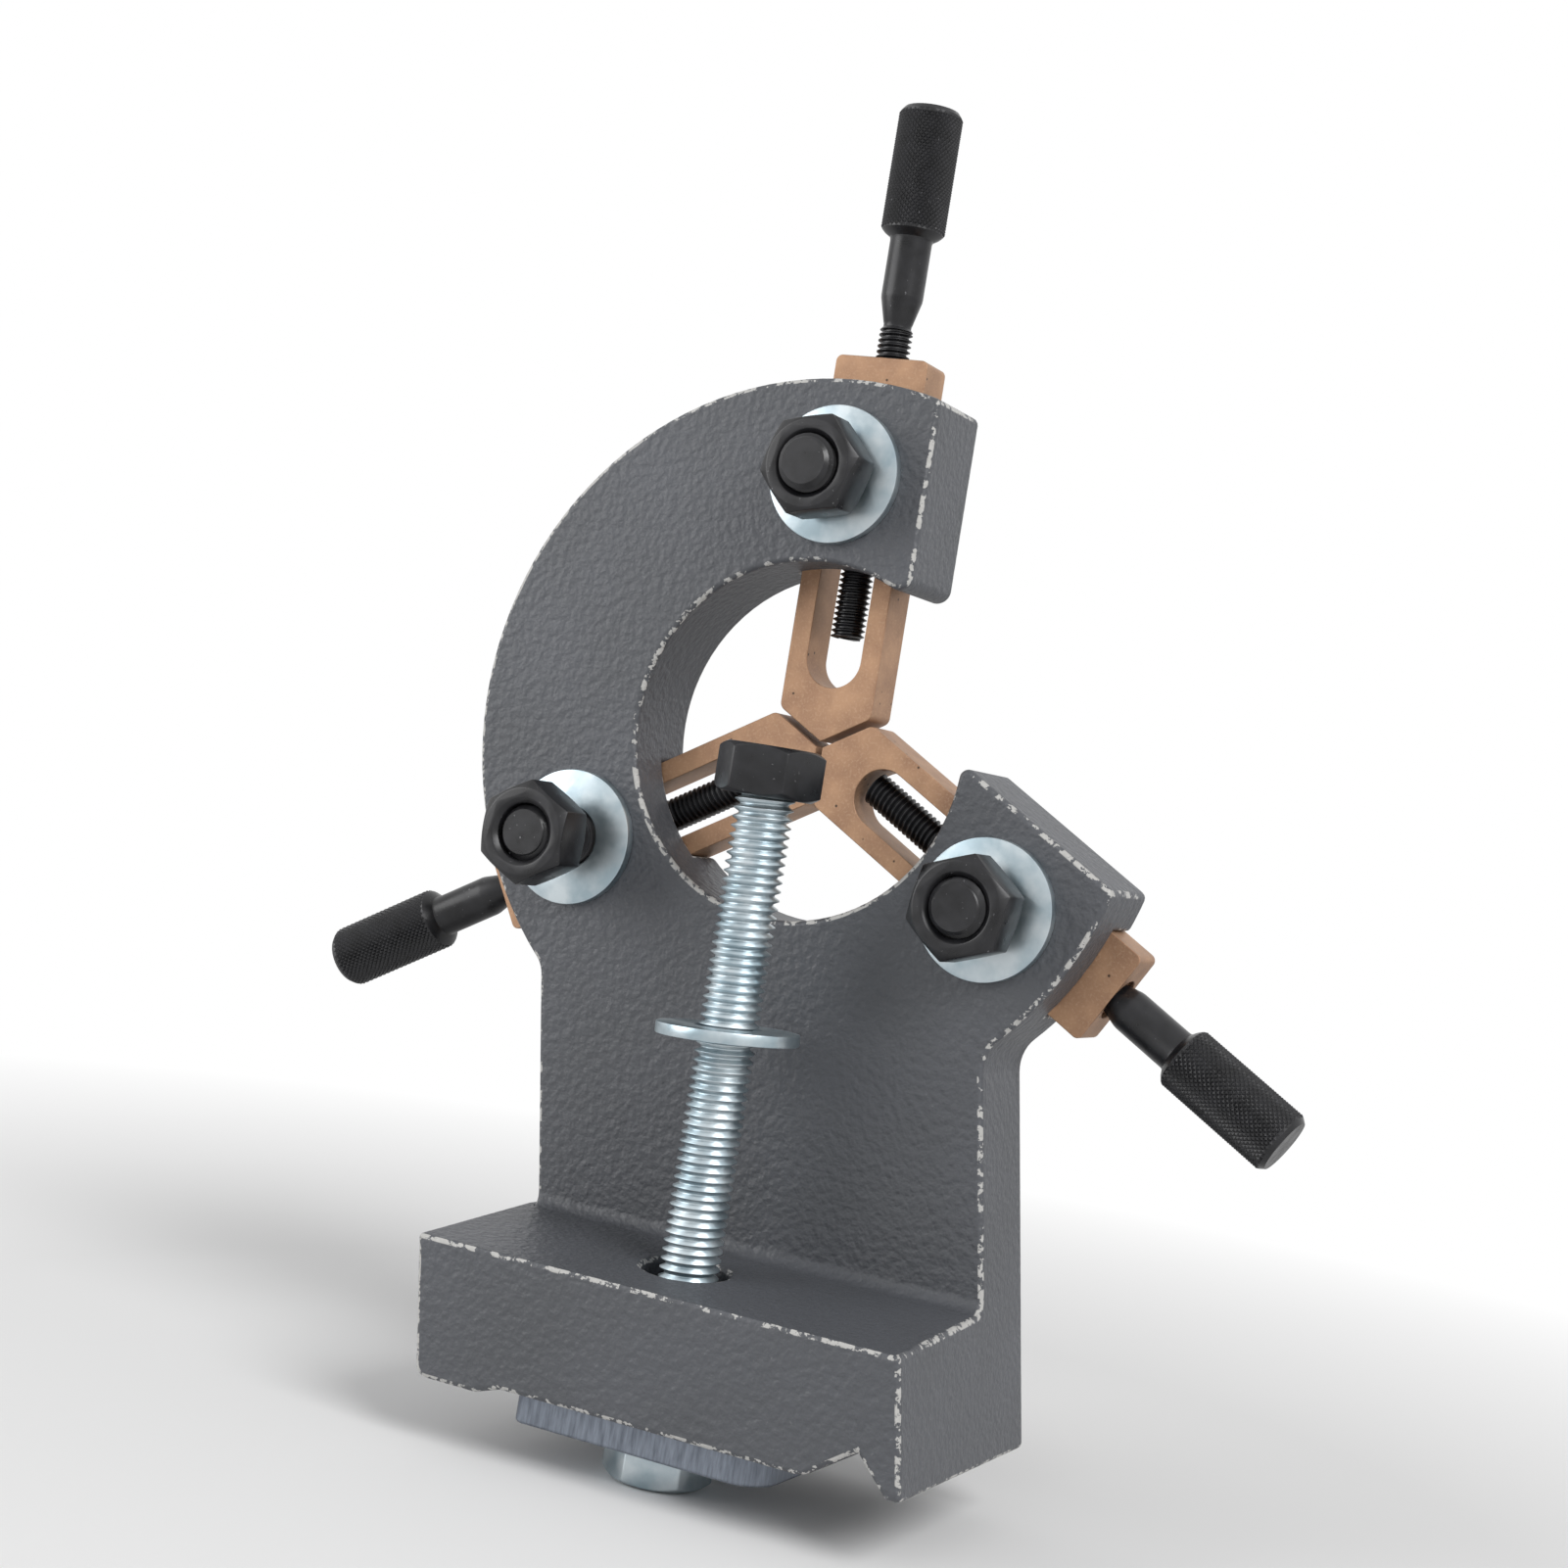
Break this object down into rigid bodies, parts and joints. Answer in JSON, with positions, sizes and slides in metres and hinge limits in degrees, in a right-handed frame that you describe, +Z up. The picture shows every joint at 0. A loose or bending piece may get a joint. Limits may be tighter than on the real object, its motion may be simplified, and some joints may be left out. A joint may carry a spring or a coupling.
{
  "type": "steady rest",
  "caption": "Open-ring steady rest for a small lathe: cast frame on a grooved foot, radial bronze jaws on knurled adjusting screws, lock nuts and a bed clamp.",
  "frame": {"origin": "on the machined underside of the base, straight below the ring's centre, in the middle plane of the ring plate", "axes": "+Z up, along the top jaw; +Y from the front, where the lock nuts are, to the back, along the lathe's axis; +X to the right seen from the front, across the bed"},
  "size_m": [0.1894, 0.0604, 0.2381],
  "materials": {
    "casting_paint": "orange-peel paint",
    "bronze": "satin",
    "black_oxide": "black oxide",
    "zinc_plate": "zinc plated",
    "milled_steel": "milled"
  },
  "bodies": {
    "frame": {"frame_casting": "casting_paint", "top_lock_bolt": "black_oxide", "right_lock_bolt": "black_oxide", "left_lock_bolt": "black_oxide"},
    "top_jaw": {"top_jaw": "bronze"},
    "top_screw": {"top_adjusting_screw": "black_oxide"},
    "top_washer": {"top_lock_washer": "zinc_plate"},
    "top_nut": {"top_lock_nut": "black_oxide"},
    "right_jaw": {"right_jaw": "bronze"},
    "right_screw": {"right_adjusting_screw": "black_oxide"},
    "right_washer": {"right_lock_washer": "zinc_plate"},
    "right_nut": {"right_lock_nut": "black_oxide"},
    "left_jaw": {"left_jaw": "bronze"},
    "left_screw": {"left_adjusting_screw": "black_oxide"},
    "left_washer": {"left_lock_washer": "zinc_plate"},
    "left_nut": {"left_lock_nut": "black_oxide"},
    "clamp_bolt": {"clamp_bolt": "zinc_plate"},
    "clamp_plate": {"clamp_plate": "milled_steel"},
    "clamp_washer": {"clamp_washer": "zinc_plate"},
    "clamp_nut": {"clamp_nut": "black_oxide"}
  },
  "joints": [
    {"name": "top_jaw_slide", "type": "slide", "parent": "frame", "child": "top_jaw", "axis": [0, 0, 1], "range_m": [0, 0.024]},
    {"name": "top_screw_turn", "type": "hinge", "parent": "top_jaw", "child": "top_screw", "pos_m": [0, 0.00525, 0.112], "axis": [0, 0, 1], "range_deg": [0, 8650]},
    {"name": "top_washer_slide", "type": "slide", "parent": "frame", "child": "top_washer", "axis": [0, -1, 0], "range_m": [0, 0.00225]},
    {"name": "top_nut_turn", "type": "hinge", "parent": "top_washer", "child": "top_nut", "pos_m": [0, -0.0115, 0.158], "axis": [0, -1, 0], "range_deg": [0, 541]},
    {"name": "right_jaw_slide", "type": "slide", "parent": "frame", "child": "right_jaw", "axis": [0.866, 0, -0.5], "range_m": [0, 0.03]},
    {"name": "right_screw_turn", "type": "hinge", "parent": "right_jaw", "child": "right_screw", "pos_m": [0, 0.00525, 0.112], "axis": [0.866, 0, -0.5], "range_deg": [0, 10810]},
    {"name": "right_washer_slide", "type": "slide", "parent": "frame", "child": "right_washer", "axis": [0, -1, 0], "range_m": [0, 0.00225]},
    {"name": "right_nut_turn", "type": "hinge", "parent": "right_washer", "child": "right_nut", "pos_m": [0.03984, -0.0115, 0.089], "axis": [0, -1, 0], "range_deg": [0, 541]},
    {"name": "left_jaw_slide", "type": "slide", "parent": "frame", "child": "left_jaw", "axis": [-0.866, 0, -0.5], "range_m": [0, 0.03]},
    {"name": "left_screw_turn", "type": "hinge", "parent": "left_jaw", "child": "left_screw", "pos_m": [0, 0.00525, 0.112], "axis": [-0.866, 0, -0.5], "range_deg": [0, 10810]},
    {"name": "left_washer_slide", "type": "slide", "parent": "frame", "child": "left_washer", "axis": [0, -1, 0], "range_m": [0, 0.00225]},
    {"name": "left_nut_turn", "type": "hinge", "parent": "left_washer", "child": "left_nut", "pos_m": [-0.03984, -0.0115, 0.089], "axis": [0, -1, 0], "range_deg": [0, 541]},
    {"name": "clamp_drop", "type": "slide", "parent": "frame", "child": "clamp_bolt", "axis": [0, 0, -1], "range_m": [0, 0.018]},
    {"name": "clamp_plate_swivel", "type": "hinge", "parent": "clamp_bolt", "child": "clamp_plate", "pos_m": [0.0047, -0.0265, 0], "axis": [0, 0, 1], "range_deg": [-3, 3]},
    {"name": "clamp_washer_drop", "type": "slide", "parent": "clamp_bolt", "child": "clamp_washer", "axis": [0, 0, -1], "range_m": [0, 0.018]},
    {"name": "clamp_nut_run", "type": "slide", "parent": "clamp_bolt", "child": "clamp_nut", "axis": [0, 0, -1], "range_m": [0, 0.038]}
  ],
  "couplings": [
    {"joint": "top_screw_turn", "follows": "top_jaw_slide", "rad_per_m": 6283.2},
    {"joint": "top_nut_turn", "follows": "top_washer_slide", "rad_per_m": 4188.8},
    {"joint": "right_screw_turn", "follows": "right_jaw_slide", "rad_per_m": 6283.2},
    {"joint": "right_nut_turn", "follows": "right_washer_slide", "rad_per_m": 4188.8},
    {"joint": "left_screw_turn", "follows": "left_jaw_slide", "rad_per_m": 6283.2},
    {"joint": "left_nut_turn", "follows": "left_washer_slide", "rad_per_m": 4188.8}
  ]
}
